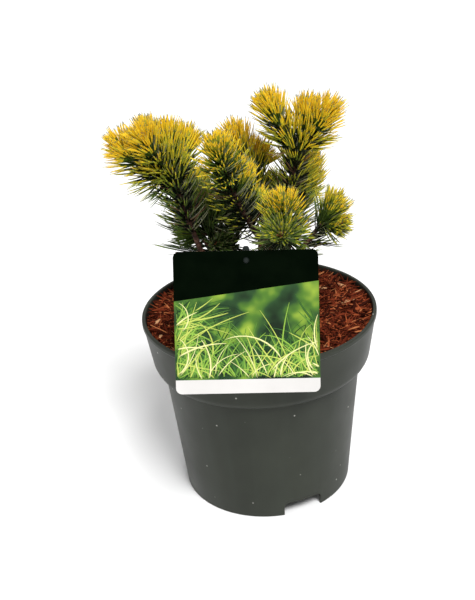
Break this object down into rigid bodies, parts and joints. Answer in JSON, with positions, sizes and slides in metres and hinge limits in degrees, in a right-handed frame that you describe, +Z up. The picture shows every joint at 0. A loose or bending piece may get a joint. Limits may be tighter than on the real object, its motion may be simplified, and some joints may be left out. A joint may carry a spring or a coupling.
{
  "type": "potted dwarf mountain pine",
  "caption": "Young golden-needled dwarf mountain pine in a round nursery pot topped with bark mulch, with a plant label.",
  "frame": {"origin": "centre of the flat underside of the pot's floor, which stands on the ground", "axes": "+Z up through the pot's middle; -Y towards the side that carries the plant label; +X to the right of someone who faces the label"},
  "size_m": [0.204, 0.1992, 0.3398],
  "materials": {
    "pot_plastic": "satin moulded polypropylene, dark grey-green",
    "bark_mulch": "damp shredded bark, red-brown",
    "bark": "rough young bark, brown with red tints",
    "needles": "waxy needles, dark green inside to golden yellow at the tips",
    "card_plastic": null,
    "stake_plastic": "black moulded plastic"
  },
  "bodies": {
    "root": {"pot": "pot_plastic", "mulch": "bark_mulch", "trunk": "bark", "bough_centre_front": "bark", "bough_centre_back": "bark", "bough_right_tall": "bark", "bough_left": "bark", "bough_right_low": "bark", "bough_front": "bark", "bough_inner_left": "bark", "bough_inner_right": "bark", "bough_inner_back": "bark", "bough_back_left": "bark", "bough_back_right": "bark", "bough_back_low": "bark", "foliage_centre_front": "needles", "foliage_centre_back": "needles", "foliage_right_tall": "needles", "foliage_left": "needles", "foliage_right_low": "needles", "foliage_front": "needles", "foliage_inner_left": "needles", "foliage_inner_right": "needles", "foliage_inner_back": "needles", "foliage_back_left": "needles", "foliage_back_right": "needles", "foliage_back_low": "needles", "label_card": "card_plastic", "label_stake": "stake_plastic"}
  },
  "joints": []
}
